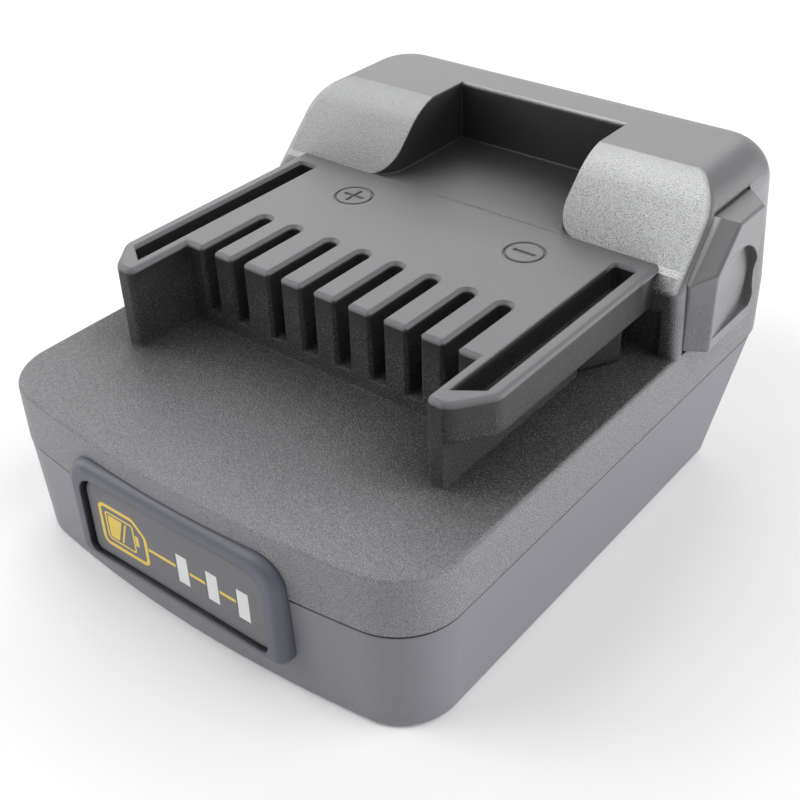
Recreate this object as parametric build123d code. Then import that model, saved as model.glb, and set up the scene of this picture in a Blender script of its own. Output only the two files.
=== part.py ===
"""Battery adapter for cordless tools.

A slide-in battery pack of one system hooks under this adapter, and a tool of another system
takes the raised rail on its top. All lengths are millimetres.

Origin: centre of the underside's bounding box. X points to the right side, Y to the rear
and Z up. The level gauge faces the front, and the latch tower stands at the rear.
"""
import math
import os

from build123d import *

# Whole body, from front to rear: plain deck, comb and platform, latch tower
body_width = 76.0
front_deck_length = 31.2
platform_length = 31.1
tower_length = 35.7
gauge_proud = 1.0
wall = 2.4
overrun = 2.0

# Heights, each counted up from the one before
lower_height = 17.0
deck_rise = 8.9
groove_height = 7.2
flange_thickness = 5.7
tower_rise = 9.6

# Body outline
front_bow = 3.5
plan_corner = 9.4
deck_edge_round = 0.6
lower_draft_angle = 2.36
seam_step = 0.1
seam_groove = 0.35

# Rail for the tool
web_outer_half_width = 28.7
web_thickness = 2.7
flange_overhang = 4.6
rail_reach = 10.9
flange_corner_width = 4.0
flange_corner_length = 5.45
flange_corner_round = 3.0
plate_nose_round = 1.2
platform_edge_round = 0.8

# Slots of the terminal comb
slot_width = 2.2
slot_length = 13.0
slot_flare = 0.45
slot_floor_rise = 2.2
slot_throat_setback = 3.4
slot_place_shares = (-0.838, -0.612, -0.338, -0.104, 0.133, 0.369, 0.608, 0.838)
live_slots = (0, 3, 4, 7)

# Long blind channels in the two flanges
channel_wall = 1.6
channel_width = 3.8
channel_setback = 2.9
channel_slant = 2.6
channel_corner_round = 0.6
channel_depth = 4.1
channel_end_gap = 0.3

# Latch tower
tower_kick_height = 10.4
tower_slope_angle = 45.0
tower_crest_round = 11.0
tower_kick_round = 1.2
tower_crest_lift = 0.2
tower_crown_round = 6.0
tower_side_lean = 0.9
tower_rear_lean = 2.3
tower_heel_round = 4.6
tower_side_round = 1.6
recess_half_width = 15.4
recess_depth = 22.5
recess_flare = 4.0
recess_edge_round = 0.6
rail_pocket_depth = 1.3
rail_pocket_gap = 2.0

# Lower housing
lower_rear_inset = 7.8
lower_rear_run = 12.0
lower_edge_round = 1.0
core_boss_gap = 2.1
core_wall = 2.0
core_width = 3.0
rib_gap = 0.2
rib_rise = 1.4
rib_thickness = 1.3

# Receiver for the battery pack
receiver_neck_half_width = 25.8
receiver_lip_width = 4.0
receiver_lip = 3.4
receiver_groove = 5.4
receiver_depth = 12.6
receiver_front_setback = 13.4
bay_floor = 2.2
catch_half_width = 9.0
catch_length = 6.0
catch_inset = 38.0
catch_depth = 1.2

# Level gauge
gauge_half_width = 19.6
gauge_low = 5.4
gauge_height = 17.4
gauge_corner_high = 4.5
gauge_corner_low = 2.0
gauge_edge_round = 1.5
gauge_rim_side = 2.6
gauge_rim_low = 1.6
gauge_rim_high = 2.5
gauge_opening_corner_high = 3.0
gauge_opening_corner_low = 1.4
gauge_neck_inset = 0.45
gauge_flange_lip = 1.0
gauge_flange_thickness = 1.2
panel_recess = 0.7
panel_gap = 0.3
panel_end_gap = 0.3
panel_thickness = 2.0
panel_pin_radius = 0.7
panel_pin_inset = 1.5
panel_pin_entry = 0.5
panel_press_place = -9.6
window_rise = 5.7
window_width = 2.05
window_height = 4.9
window_end_inset = 4.34
window_pitch = 5.52
window_count = 3
guide_led_gap = 1.0

# Gauge board and switch
gauge_board_half_width = 18.3
gauge_board_lift = 1.2
gauge_board_room = 2.0
gauge_board_setback = 7.2
gauge_board_thickness = 1.2
gauge_rib_thickness = 1.6
gauge_rib_length = 4.2
switch_size = 6.0
switch_depth = 3.4
plunger_radius = 1.6
plunger_length = 2.8
plunger_reach = 1.2
plunger_travel_room = 0.9
press_gap = 0.05
led_size = 1.6
led_depth = 1.2

# Latch buttons
button_proud = 3.0
button_from_tower = 2.7
button_length = 17.8
button_low_gap = 0.3
button_height = 18.1
button_slope_depth = 1.5
button_lean = 1.9
button_tail = 3.0
button_body_depth = 4.4
button_gap = 0.4
button_edge_round = 0.5
dish_radius = 7.3
dish_from_button = 8.1
dish_centre_rise = 6.9
dish_floor_rise = 2.4
dish_depth = 1.5

# Latch sliders, springs and guide plate
hook_reach = 3.0
hook_lead = 10.3
hook_length = 6.1
hook_low_gap = 0.5
hook_height = 5.2
hook_gap = 0.4
arm_width = 4.9
arm_wall_gap = 0.4
crossbar_from_tower = 5.7
crossbar_length = 12.0
yoke_thickness = 2.0
yoke_height = 14.0
spring_radius = 2.4
spring_wire_radius = 0.3
spring_turns = 6
spigot_radius = 1.7
spigot_length = 1.4
spine_half_width = 3.0
spine_half_length = 3.8
spine_thickness = 1.6
guide_plate_thickness = 2.1
guide_plate_front_margin = 1.5
guide_plate_rear_margin = 6.0
guide_plate_side_gap = 1.0
slide_gap = 0.15

# Screws
screw_radius = 1.45
screw_thread_gap = 0.05
screw_pass_gap = 0.2
screw_head_radius = 2.6
screw_head_height = 1.6
screw_cross_width_share = 0.25
screw_cross_depth_share = 0.5
head_gap = 0.3
housing_screw_inset = 4.4
housing_screw_front = 10.5
housing_screw_from_tower = 9.6
housing_screw_rise = 10.0
housing_screw_entry = 5.6
housing_boss_radius = 3.4
small_screw_radius = 1.0
small_head_radius = 1.9
small_head_height = 1.2
small_boss_radius = 2.3
guide_screw_place = 11.0
guide_screw_front_inset = 5.5
guide_screw_rear_inset = 4.0
guide_screw_entry = 6.0
board_screw_inset = 3.9
board_screw_front_inset = 12.0
board_screw_rear_inset = 5.0
board_screw_entry = 2.6
block_screw_place = 8.0
block_screw_entry = 5.0

# Main board and what it carries
board_front_setback = 14.5
board_tail = 18.0
board_lift = 3.4
board_thickness = 1.6
chip_size = 7.0
chip_height = 1.2
chip_inset = 10.0
transistor_width = 8.0
transistor_length = 7.0
transistor_height = 2.1
transistor_place = 12.5
transistor_gap = 1.2
capacitor_radius = 2.0
capacitor_height = 2.6
capacitor_place = 4.0
capacitor_gap = 4.6

# Terminals
holder_length = 11.4
holder_room = 0.5
holder_side_gap = 0.2
clip_leaf = 0.5
clip_gap = 0.8
clip_inset = 4.4
clip_length = 7.4
clip_top_drop = 4.6
clip_foot_drop = 0.9
clip_fit = 0.05
block_half_width = 20.0
block_gap = 0.6
block_length = 8.0
block_low = 3.2
blade_thickness = 0.8
blade_height = 6.0
blade_low = 4.6
blade_reach = 12.0
blade_root = 2.0
blade_tail_length = 3.0
blade_tail_stand = 0.8
blade_place_shares = (-0.7, 0.25, 0.7)

# Wires from the gauge board to the main board
wire_radius = 0.45
wire_count = 3
wire_pitch = 1.5
wire_first = -6.0
wire_low_rise = 1.4
wire_high_rise = 2.1
wire_riser_gap = 4.0
wire_end_inset = 4.1
wire_bend = 1.0

# Engraved polarity marks
mark_place = 15.8
mark_lead = 5.2
mark_radius = 3.1
mark_line = 0.35
mark_bar = 3.7
mark_bar_width = 0.5
mark_depth = 0.25

# Worked-out heights
seam_z = lower_height
deck_z = seam_z + deck_rise
flange_low_z = deck_z + groove_height
platform_z = flange_low_z + flange_thickness
top_z = platform_z + tower_rise
kick_z = deck_z + tower_kick_height
slot_floor_z = deck_z + slot_floor_rise
receiver_roof_z = receiver_depth
bay_z = receiver_roof_z + bay_floor
board_z = bay_z + board_lift
board_top_z = board_z + board_thickness
holder_top_z = deck_z - holder_room
hook_low_z = deck_z + hook_low_gap
guide_plate_top_z = hook_low_z - slide_gap
guide_plate_low_z = guide_plate_top_z - guide_plate_thickness
spring_z = hook_low_z + hook_height / 2
gauge_top = gauge_low + gauge_height
gauge_opening_low = gauge_low + gauge_rim_low
gauge_opening_top = gauge_top - gauge_rim_high
window_z = gauge_opening_low + window_rise
gauge_board_low = wall + gauge_board_lift
gauge_board_top = deck_z - wall - gauge_board_room
wire_low = bay_z + wire_low_rise
wire_high = board_top_z + wire_high_rise

# Worked-out places across the body
half_width = body_width / 2
web_inner = web_outer_half_width - web_thickness
flange_half_width = web_outer_half_width + flange_overhang
channel_inner = web_inner + channel_wall
rail_pocket_half_width = flange_half_width + rail_pocket_gap
receiver_half_width = receiver_neck_half_width + receiver_lip_width
gauge_opening_half_width = gauge_half_width - gauge_rim_side
panel_pin_place = gauge_opening_half_width - panel_pin_inset
arm_outer = web_inner - arm_wall_gap
arm_inner = arm_outer - arm_width
button_inner = half_width - button_body_depth
button_outer = half_width + button_proud
guide_plate_half_width = web_inner - guide_plate_side_gap
holder_half_width = web_inner - wall - holder_side_gap
board_half_width = holder_half_width
board_screw_place = board_half_width - board_screw_inset
housing_screw_place = half_width - housing_screw_inset
slot_places = [share * web_inner for share in slot_place_shares]
blade_places = [share * block_half_width for share in blade_place_shares]
window_last = gauge_opening_half_width - window_end_inset
window_places = [window_last - window_pitch * (window_count - 1 - index) for index in range(window_count)]

# Worked-out places from front to rear
body_length = front_deck_length + platform_length + tower_length
front_y = gauge_proud - (body_length + gauge_proud) / 2
rear_y = front_y + body_length
comb_y = front_y + front_deck_length
rail_y = comb_y - rail_reach
tower_y = comb_y + platform_length
recess_back_y = tower_y + recess_depth
lower_rear_y = rear_y - lower_rear_inset
receiver_y = front_y + receiver_front_setback
panel_y = front_y - gauge_proud + panel_recess
panel_back_y = panel_y + panel_thickness
gauge_board_y = front_y + gauge_board_setback
gauge_board_back_y = gauge_board_y + gauge_board_thickness
gauge_flange_half_width = gauge_half_width - gauge_neck_inset + gauge_flange_lip
gauge_flange_y = (front_y + wall + seam_step * 2 + seam_groove
                  + front_bow * (gauge_flange_half_width / half_width) ** 2)
plunger_y = gauge_board_y - switch_depth - plunger_reach
led_y = gauge_board_y - led_depth
block_y = receiver_y + block_gap
block_middle_y = block_y + block_length / 2
blade_y = block_y + blade_root
holder_y = comb_y + slot_throat_setback
clip_y = comb_y + clip_inset
board_y = front_y + board_front_setback
board_back_y = holder_y + holder_length + board_tail
button_y = tower_y + button_from_tower
button_back_y = button_y + button_length
hook_y = tower_y - hook_lead
hook_back_y = hook_y + hook_length
crossbar_y = tower_y + crossbar_from_tower
crossbar_back_y = crossbar_y + crossbar_length
spring_y = (crossbar_y + crossbar_back_y) / 2
guide_plate_y = hook_y - guide_plate_front_margin
guide_plate_back_y = crossbar_back_y + guide_plate_rear_margin
slope = math.radians(tower_slope_angle)

# Places of the screws, seen from above
housing_screw_spots = [(side * housing_screw_place, y) for side in (-1, 1)
                       for y in (front_y + housing_screw_front, tower_y + housing_screw_from_tower)]
guide_screw_spots = [(side * guide_screw_place, y) for side in (-1, 1)
                     for y in (guide_plate_y + guide_screw_front_inset,
                               guide_plate_back_y - guide_screw_rear_inset)]
board_screw_spots = [(side * board_screw_place, y) for side in (-1, 1)
                     for y in (board_y + board_screw_front_inset, board_back_y - board_screw_rear_inset)]
block_screw_spots = [(side * block_screw_place, block_middle_y) for side in (-1, 1)]


def block(x_span, y_span, z_span):
    """A box between two values along each axis."""
    spans = (x_span, y_span, z_span)
    size = [high - low for low, high in spans]
    middle = [(low + high) / 2 for low, high in spans]
    return Pos(*middle) * Box(*size)


def post(x, y, z_span, radius):
    """An upright cylinder."""
    low, high = z_span
    return Pos(x, y, (low + high) / 2) * Cylinder(radius, high - low)


def mirrored(solid):
    """The same thing on the left side."""
    return mirror(solid, about=Plane.YZ)


def both_sides(solid):
    """A right-hand solid together with its left-hand twin."""
    return solid + mirrored(solid)


def closed_face(points):
    """A flat face inside straight edges."""
    return make_face(Polyline(*points, close=True))


def rounded_face(points, radii):
    """A flat face whose corners, all but the first and last, are rounded by the radii."""
    path = FilletPolyline(*points, radius=radii)
    return make_face(path + Line(points[-1], points[0]))


def edges_near(solid, test):
    """Edges of a solid whose centre passes a test."""
    return [edge for edge in solid.edges() if test(edge.center())]


def side_prism(face, x_low, x_high):
    """Extrude a face drawn in Y and Z between two X values."""
    return Pos(x_low, 0, 0) * extrude(Plane.YZ * face, amount=x_high - x_low)


def front_prism(face, y_low, y_high):
    """Extrude a face drawn in X and Z between two Y values."""
    return Pos(0, y_high, 0) * extrude(Plane.XZ * face, amount=y_high - y_low)


def plan_face(inset, side, back_y):
    """Body outline seen from above: straight sides, bowed front and round corners."""
    half = side - inset
    front = front_y + half_width - side + inset
    bow = front_bow * (half / half_width) ** 2
    corner = plan_corner - inset - (half_width - side)
    bowed = ThreePointArc((-half, front + bow), (0, front), (half, front + bow))
    sides = Polyline((half, front + bow), (half, back_y), (-half, back_y), (-half, front + bow))
    face = make_face(bowed + sides)
    return fillet(face.vertices(), corner)


def plan_prism(inset, z_span, back_y=None):
    """Upright solid on the body outline."""
    low, high = z_span
    back = rear_y - inset if back_y is None else back_y
    return Pos(0, 0, low) * extrude(plan_face(inset, half_width, back), amount=high - low)


def tower_face(inset):
    """Side view of the tower and the heel; its crest runs out just above the top, to cut it cleanly."""
    front = tower_y + inset
    top = top_z - inset + tower_crest_lift
    low = seam_z + inset
    rear = rear_y - inset
    kick = kick_z + inset * math.tan(slope) - inset / math.cos(slope)
    crest = front + (top - kick) / math.tan(slope)
    points = [(front, low), (front, kick), (crest, top), (rear, top), (rear, low), ((front + rear) / 2, low)]
    radii = [tower_kick_round, tower_crest_round - inset, 0, tower_heel_round - inset]
    return rounded_face(points, radii)


def tower_shell(inset):
    """The tower's walls: upright up to the deck, then leaning in up to the round crown."""
    top = top_z - inset
    foot = Pos(0, 0, deck_z) * plan_face(inset, half_width, rear_y - inset)
    crown = Pos(0, 0, top) * plan_face(inset, half_width - tower_side_lean, rear_y - tower_rear_lean - inset)
    walls = loft([foot, crown], ruled=True)
    walls = fillet(edges_near(walls, lambda c: c.Z > top - seam_step), tower_crown_round - inset)
    return walls + plan_prism(inset, (seam_z, deck_z))


def tower_block():
    """Outer shape of the tower, rounded along the side edges of its front."""
    raw = side_prism(tower_face(0), -half_width, half_width) & tower_shell(0)
    sharp = edges_near(raw, lambda c: abs(c.X) > half_width - wall and c.Z > deck_z + seam_step
                       and c.Y < tower_y + tower_crest_round)
    return fillet(sharp, tower_side_round)


def deck_block():
    """Outer shape of the deck in front of the tower's rear wall."""
    deck = plan_prism(0, (seam_z, deck_z), rear_y - tower_heel_round)
    rim = [edge for edge in deck.edges() if edge.center().Z > deck_z - seam_step]
    return fillet(rim, deck_edge_round)


def flange_face():
    """One flange seen from above, with its front corner cut off and rounded."""
    near = flange_half_width - flange_corner_width
    back = tower_y + wall
    face = closed_face([(web_inner, rail_y), (near, rail_y),
                        (flange_half_width, rail_y + flange_corner_length), (flange_half_width, back),
                        (web_inner, back)])
    corner = [point for point in face.vertices() if point.X > near - seam_step and point.Y < back - seam_step]
    return fillet(corner, flange_corner_round)


def channel_face():
    """The long blind channel in a flange, seen from above, with a slanted front end."""
    front = rail_y + channel_setback
    outer = channel_inner + channel_width
    end = tower_y - channel_end_gap
    face = closed_face([(channel_inner, front), (outer, front + channel_slant), (outer, end),
                        (channel_inner, end)])
    return fillet([point for point in face.vertices() if point.Y > end - seam_step], channel_corner_round)


def flange_rail():
    """One side plate with its flange, rounded at the front and along the top."""
    back = tower_y + wall
    plate = block((web_inner, web_outer_half_width), (rail_y, back), (deck_z - wall, platform_z))
    flange = Pos(0, 0, flange_low_z) * extrude(flange_face(), amount=flange_thickness)
    rail = plate + flange
    nose = edges_near(rail, lambda c: c.X < web_inner + seam_step and c.Y < rail_y + seam_step)
    rail = fillet(nose, plate_nose_round)
    rim = edges_near(rail, lambda c: c.Z > platform_z - seam_step and c.Y < back - seam_step)
    rail = fillet(rim, platform_edge_round)
    channel = Pos(0, 0, platform_z - channel_depth) * extrude(channel_face(), amount=channel_depth + overrun)
    return rail - channel


def comb_block():
    """Solid between the side plates, from the comb's face back into the tower."""
    side = web_inner + platform_edge_round
    body = block((-side, side), (comb_y, tower_y + wall), (deck_z - wall, platform_z))
    crest = edges_near(body, lambda c: c.Z > platform_z - seam_step and c.Y < comb_y + seam_step)
    return fillet(crest, platform_edge_round)


def slot_cut(x):
    """One terminal slot with its flared mouth, flared top and round end."""
    half = slot_width / 2
    start = comb_y + slot_flare
    end = comb_y + slot_length - half
    mouth_half = half + slot_flare + overrun
    outline = closed_face([(x - half, start), (x - half, end), (x + half, end), (x + half, start),
                           (x + mouth_half, comb_y - overrun), (x - mouth_half, comb_y - overrun)])
    outline = outline + Pos(x, end) * Circle(half)
    shaft = Pos(0, 0, slot_floor_z) * extrude(outline, amount=platform_z - slot_floor_z + overrun)
    mouth = Pos(0, 0, platform_z - slot_flare) * extrude(outline, amount=slot_flare, taper=-45)
    throat = block((x - half, x + half), (comb_y + slot_throat_setback, end),
                   (seam_z, slot_floor_z + overrun))
    return shaft + mouth + throat


def recess_cut():
    """Open bay between the horns of the tower, with rounded front corners."""
    half = recess_half_width
    heights = (platform_z, top_z + overrun)
    bay = block((-half, half), (tower_y, recess_back_y), heights)
    flare_y = tower_y + (platform_z - kick_z) / math.tan(slope) + recess_flare
    corner = block((half - overrun, half + recess_flare), (tower_y - overrun, flare_y), heights)
    corner -= post(half + recess_flare, flare_y, heights, recess_flare)
    return bay + both_sides(corner)


def polarity_marks():
    """Engraved circles with a plus on the left and a minus on the right."""
    y = tower_y - mark_lead
    depth = (platform_z - mark_depth, platform_z + overrun)
    ring = post(mark_place, y, depth, mark_radius) - post(mark_place, y, depth, mark_radius - mark_line)
    half_bar = mark_bar / 2
    half_line = mark_bar_width / 2
    across = block((mark_place - half_bar, mark_place + half_bar), (y - half_line, y + half_line), depth)
    along = block((mark_place - half_line, mark_place + half_line), (y - half_bar, y + half_bar), depth)
    return ring + across + mirrored(ring + across + along)


def tower_cavity():
    """Hollow inside the tower, the heel and the rear of the deck."""
    return side_prism(tower_face(wall), -half_width, half_width) & tower_shell(wall)


def upper_cavity():
    """Everything hollow inside the upper housing."""
    rear = rear_y - tower_heel_round - wall
    under_deck = plan_prism(wall, (seam_z - overrun, deck_z - wall), rear)
    slot_end = comb_y + slot_length + wall
    inner = web_inner - wall
    under_platform = block((-web_inner, web_inner), (slot_end, tower_y + wall + overrun),
                           (deck_z - wall, platform_z - wall))
    under_comb = block((-inner, inner), (comb_y + wall, slot_end), (deck_z - wall, deck_z))
    side = recess_half_width + wall
    mouth = side + recess_flare
    heights = (platform_z - wall, top_z)
    bay_walls = block((-side, side), (tower_y, recess_back_y + wall), heights)
    bay_walls += block((-mouth, mouth), (tower_y, tower_y + recess_flare + wall * 2), heights)
    return under_deck + under_platform + under_comb + (tower_cavity() - bay_walls)


def rail_pocket():
    """The groove under a flange runs a little way into the tower's face."""
    return block((web_outer_half_width, rail_pocket_half_width),
                 (tower_y - overrun, tower_y + rail_pocket_depth), (deck_z, flange_low_z))


def button_side_face(grow):
    """Side view of a latch button; grow widens it for the window around it."""
    low = deck_z + button_low_gap - grow
    top = deck_z + button_low_gap + button_height + grow
    front = button_y - grow
    rear = button_back_y + grow
    drop = (button_slope_depth - grow) / math.cos(slope)
    bend = kick_z + (front - tower_y) * math.tan(slope) - drop
    crest = front + (top - bend) / math.tan(slope)
    return closed_face([(front, low), (front, bend), (crest, top), (rear, top), (rear, low)])


def button_window():
    """Opening for a latch button in the tower's side wall."""
    return side_prism(button_side_face(button_gap), web_inner + wall, half_width + overrun)


def hook_face():
    """The wedge that catches the tool, seen from above."""
    outer = web_outer_half_width + hook_reach
    return closed_face([(arm_inner, hook_y), (web_outer_half_width, hook_y), (outer, hook_back_y - hook_gap),
                        (outer, hook_back_y), (arm_inner, hook_back_y)])


def hook_window():
    """Opening in the side plate that the hook slides through."""
    return block((web_inner - overrun, web_outer_half_width + overrun),
                 (hook_y - hook_gap, hook_back_y + hook_gap), (deck_z, flange_low_z))


def upper_bosses():
    """Screw bosses for the housing screws and for the latch guide plate."""
    bosses = Part()
    for x, y in housing_screw_spots:
        bosses += post(x, y, (seam_z, deck_z - wall / 2), housing_boss_radius)
    for x, y in guide_screw_spots:
        bosses += post(x, y, (guide_plate_top_z, platform_z - wall / 2), small_boss_radius)
    return bosses


def upper_screw_holes():
    """Pilot holes in those bosses."""
    holes = Part()
    for x, y in housing_screw_spots:
        end = seam_z + housing_screw_entry + screw_thread_gap
        holes += post(x, y, (seam_z - overrun, end), screw_radius + screw_thread_gap)
    for x, y in guide_screw_spots:
        end = guide_plate_top_z + guide_screw_entry + screw_thread_gap
        holes += post(x, y, (guide_plate_low_z, end), small_screw_radius + screw_thread_gap)
    return holes


def gauge_face(side, low, top, corner_low, corner_high):
    """A gauge outline seen from the front, with its own radii at the bottom and the top."""
    face = closed_face([(-side, low), (side, low), (side, top), (-side, top)])
    face = fillet([point for point in face.vertices() if point.Y < (low + top) / 2], corner_low)
    return fillet([point for point in face.vertices() if point.Y > top - seam_step], corner_high)


def gauge_neck(grow):
    """The gauge frame's neck through the front wall; grow makes the hole for it."""
    inset = gauge_neck_inset - grow
    outline = gauge_face(gauge_half_width - inset, gauge_low + inset, gauge_top - inset,
                         gauge_corner_low - inset, gauge_corner_high - inset)
    return front_prism(outline, front_y - overrun, gauge_flange_y)


def upper_housing():
    """Top half of the casing: deck, rails, comb and latch tower."""
    tower = tower_block() - recess_cut()
    brim = edges_near(tower, lambda c: abs(c.Y - recess_back_y) < seam_step and c.Z > top_z - seam_step)
    tower = fillet(brim, recess_edge_round)
    body = deck_block() + tower + both_sides(flange_rail()) + comb_block()
    body -= upper_cavity()
    body += upper_bosses()
    body -= recess_cut()
    for x in slot_places:
        body -= slot_cut(x)
    body -= both_sides(rail_pocket())
    body -= button_window() + hook_window()
    body -= upper_screw_holes() + polarity_marks()
    return body - gauge_neck(press_gap)


def lower_block():
    """Outer shape of the lower housing, drafted inwards to the bottom and cut off at the rear."""
    side = half_width - seam_step
    slope_y = lower_rear_y - lower_rear_run
    slope_face = closed_face([(front_y - overrun, 0), (slope_y, 0), (lower_rear_y, seam_z),
                              (front_y - overrun, seam_z)])
    band_z = seam_z - seam_groove
    skirt = extrude(plan_face(0, side, rear_y), amount=-band_z, taper=lower_draft_angle)
    band = extrude(plan_face(0, side - seam_groove, rear_y), amount=seam_groove)
    keep = side_prism(slope_face, -half_width, half_width)
    skirt = (Pos(0, 0, band_z) * skirt) & keep
    edges = edges_near(skirt, lambda c: c.Z < seam_step or (c.Z < band_z - seam_step and c.Y > slope_y))
    return fillet(edges, lower_edge_round) + (Pos(0, 0, band_z) * band & keep)


def receiver_cut():
    """Channel that takes the battery pack: a neck, with a groove for the pack's rail on each side."""
    rear = rear_y + overrun
    neck = block((-receiver_neck_half_width, receiver_neck_half_width), (receiver_y, rear),
                 (-overrun, receiver_roof_z))
    head = block((-receiver_half_width, receiver_half_width), (receiver_y, rear),
                 (receiver_lip, receiver_lip + receiver_groove))
    catch_y = rear_y - catch_inset
    catch = block((-catch_half_width, catch_half_width), (catch_y, catch_y + catch_length),
                  (0, receiver_roof_z + catch_depth))
    return neck + head + catch


def lower_bays():
    """Room for the boards above the receiver and behind the gauge."""
    inset = wall + seam_step + seam_groove
    back = lower_rear_y - lower_rear_run * (seam_z - bay_z) / seam_z - wall
    upper_bay = plan_prism(inset, (bay_z, seam_z + overrun), back)
    front_bay = plan_prism(inset, (wall, seam_z + overrun), back)
    front_bay &= block((-half_width, half_width), (front_y, receiver_y - wall), (wall, seam_z + overrun))
    return upper_bay + front_bay


def lower_screw_bosses():
    """Full-height bosses for the housing screws, and posts under the main board."""
    bosses = Part()
    for x, y in housing_screw_spots:
        bosses += post(x, y, (wall / 2, seam_z), housing_boss_radius)
    for x, y in board_screw_spots:
        bosses += post(x, y, (bay_z - bay_floor / 2, board_z), small_boss_radius)
    return bosses


def lower_screw_holes():
    """Counterbored passes for the housing screws, and pilot holes for the board and block screws."""
    holes = Part()
    for x, y in housing_screw_spots:
        holes += post(x, y, (-overrun, housing_screw_rise), screw_head_radius + head_gap)
        holes += post(x, y, (housing_screw_rise, seam_z + overrun), screw_radius + screw_pass_gap)
    for x, y in board_screw_spots:
        holes += post(x, y, (board_z - board_screw_entry - screw_thread_gap, board_z + overrun),
                      small_screw_radius + screw_thread_gap)
    for x, y in block_screw_spots:
        holes += post(x, y, (0, seam_z), small_screw_radius + screw_pass_gap)
    return holes


def tail_passes(grow, z_span):
    """Upright slots around the blade tails."""
    half = blade_thickness / 2 + grow
    passes = Part()
    for x in blade_places:
        passes += block((x - half, x + half), (blade_y - grow, blade_y + blade_tail_length + grow), z_span)
    return passes


def gauge_board_ribs():
    """Two slotted ribs that hold the gauge board upright."""
    half = gauge_rib_length / 2
    middle = (gauge_board_y + gauge_board_back_y) / 2
    side = gauge_board_half_width
    rib = block((side - gauge_rib_thickness, side + gauge_rib_thickness), (middle - half, middle + half),
                (wall / 2, seam_z - seam_groove))
    slot = block((0, side + press_gap), (gauge_board_y - press_gap, gauge_board_back_y + press_gap),
                 (gauge_board_low, seam_z))
    return both_sides(rib - slot)


def core_span():
    """Y values between which the side cores run, from boss to boss."""
    front = front_y + housing_screw_front + housing_boss_radius + core_boss_gap
    return front, tower_y + housing_screw_from_tower - housing_boss_radius - core_boss_gap


def side_cores():
    """Long pockets that thin out the solid beside the receiver."""
    inner = receiver_half_width + core_wall
    return both_sides(block((inner, inner + core_width), core_span(), (wall, seam_z + overrun)))


def locating_ribs():
    """Ribs that stand up inside the upper housing's side walls."""
    outer = half_width - wall - rib_gap
    front, rear = core_span()
    return both_sides(block((outer - rib_thickness, outer), (front + wall, rear - wall),
                            (seam_z - wall, seam_z + rib_rise)))


def lower_housing():
    """Bottom half of the casing, with the receiver for the battery pack."""
    body = lower_block() - lower_bays() - receiver_cut() - side_cores()
    body += lower_screw_bosses() + gauge_board_ribs() + locating_ribs()
    body -= lower_screw_holes()
    body -= tail_passes(head_gap, (0, seam_z))
    return body - gauge_neck(press_gap)


def gauge_bezel():
    """Raised frame around the gauge, clamped between the housings."""
    face = gauge_face(gauge_half_width, gauge_low, gauge_top, gauge_corner_low, gauge_corner_high)
    boss = front_prism(face, front_y - gauge_proud, front_y + wall)
    boss = fillet(edges_near(boss, lambda c: c.Y < front_y - gauge_proud + seam_step), gauge_edge_round)
    boss -= plan_prism(0, (seam_z, deck_z)) + lower_block()
    neck = gauge_neck(0) & block((-half_width, half_width), (front_y, rear_y), (0, top_z))
    lip = gauge_flange_lip - gauge_neck_inset
    flange = block((-gauge_flange_half_width, gauge_flange_half_width),
                   (gauge_flange_y, gauge_flange_y + gauge_flange_thickness),
                   (gauge_low - lip, gauge_top + lip))
    opening = gauge_face(gauge_opening_half_width, gauge_opening_low, gauge_opening_top,
                         gauge_opening_corner_low, gauge_opening_corner_high)
    hole = front_prism(opening, front_y - gauge_proud - overrun, gauge_flange_y + overrun)
    return boss + neck + flange - hole - panel_pins(press_gap)


def panel_pins(grow):
    """Hinge pins at the panel's right end; grow makes the bores for them."""
    y = (panel_y + panel_back_y) / 2
    middle = (gauge_opening_low + gauge_opening_top) / 2
    low = (gauge_opening_low - panel_pin_entry - grow, middle)
    high = (middle, gauge_opening_top + panel_pin_entry + grow)
    radius = panel_pin_radius + grow
    return post(panel_pin_place, y, low, radius) + post(panel_pin_place, y, high, radius)


def gauge_panel():
    """Rocking front panel: the switch is pressed at its left, and it hinges at its right."""
    gap = panel_gap
    shift = panel_end_gap / 2
    side = gauge_opening_half_width - gap - shift
    face = gauge_face(side, gauge_opening_low + gap, gauge_opening_top - gap,
                      gauge_opening_corner_low - gap, gauge_opening_corner_high - gap)
    plate = Pos(shift, 0, 0) * front_prism(face, panel_y, panel_back_y)
    nub = lying_post(panel_press_place, (panel_back_y, plunger_y - press_gap), plunger_radius)
    for x in window_places:
        plate -= window_solid(x)
    return plate + nub + panel_pins(0)


def window_solid(x):
    """One light guide, from the panel's front to just before its lamp."""
    return block((x - window_width / 2, x + window_width / 2), (panel_y, led_y - guide_led_gap),
                 (window_z - window_height / 2, window_z + window_height / 2))


def level_windows():
    """The light guides, one for each lamp."""
    return [window_solid(x) for x in window_places]


def gauge_board():
    """Upright board behind the gauge."""
    board = block((-gauge_board_half_width, gauge_board_half_width), (gauge_board_y, gauge_board_back_y),
                  (gauge_board_low, gauge_board_top))
    for wire in gauge_wires():
        board -= wire
    return board


def gauge_leds():
    """One lamp behind each window."""
    half = led_size / 2
    return [block((x - half, x + half), (led_y, gauge_board_y), (window_z - half, window_z + half))
            for x in window_places]


def lying_post(x, y_span, radius):
    """A cylinder along Y at the height of the windows."""
    low, high = y_span
    return Pos(x, (low + high) / 2, window_z) * Rot(90, 0, 0) * Cylinder(radius, high - low)


def switch_plunger():
    """The part of the switch that the panel's nub presses."""
    return lying_post(panel_press_place, (plunger_y, plunger_y + plunger_length), plunger_radius)


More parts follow.
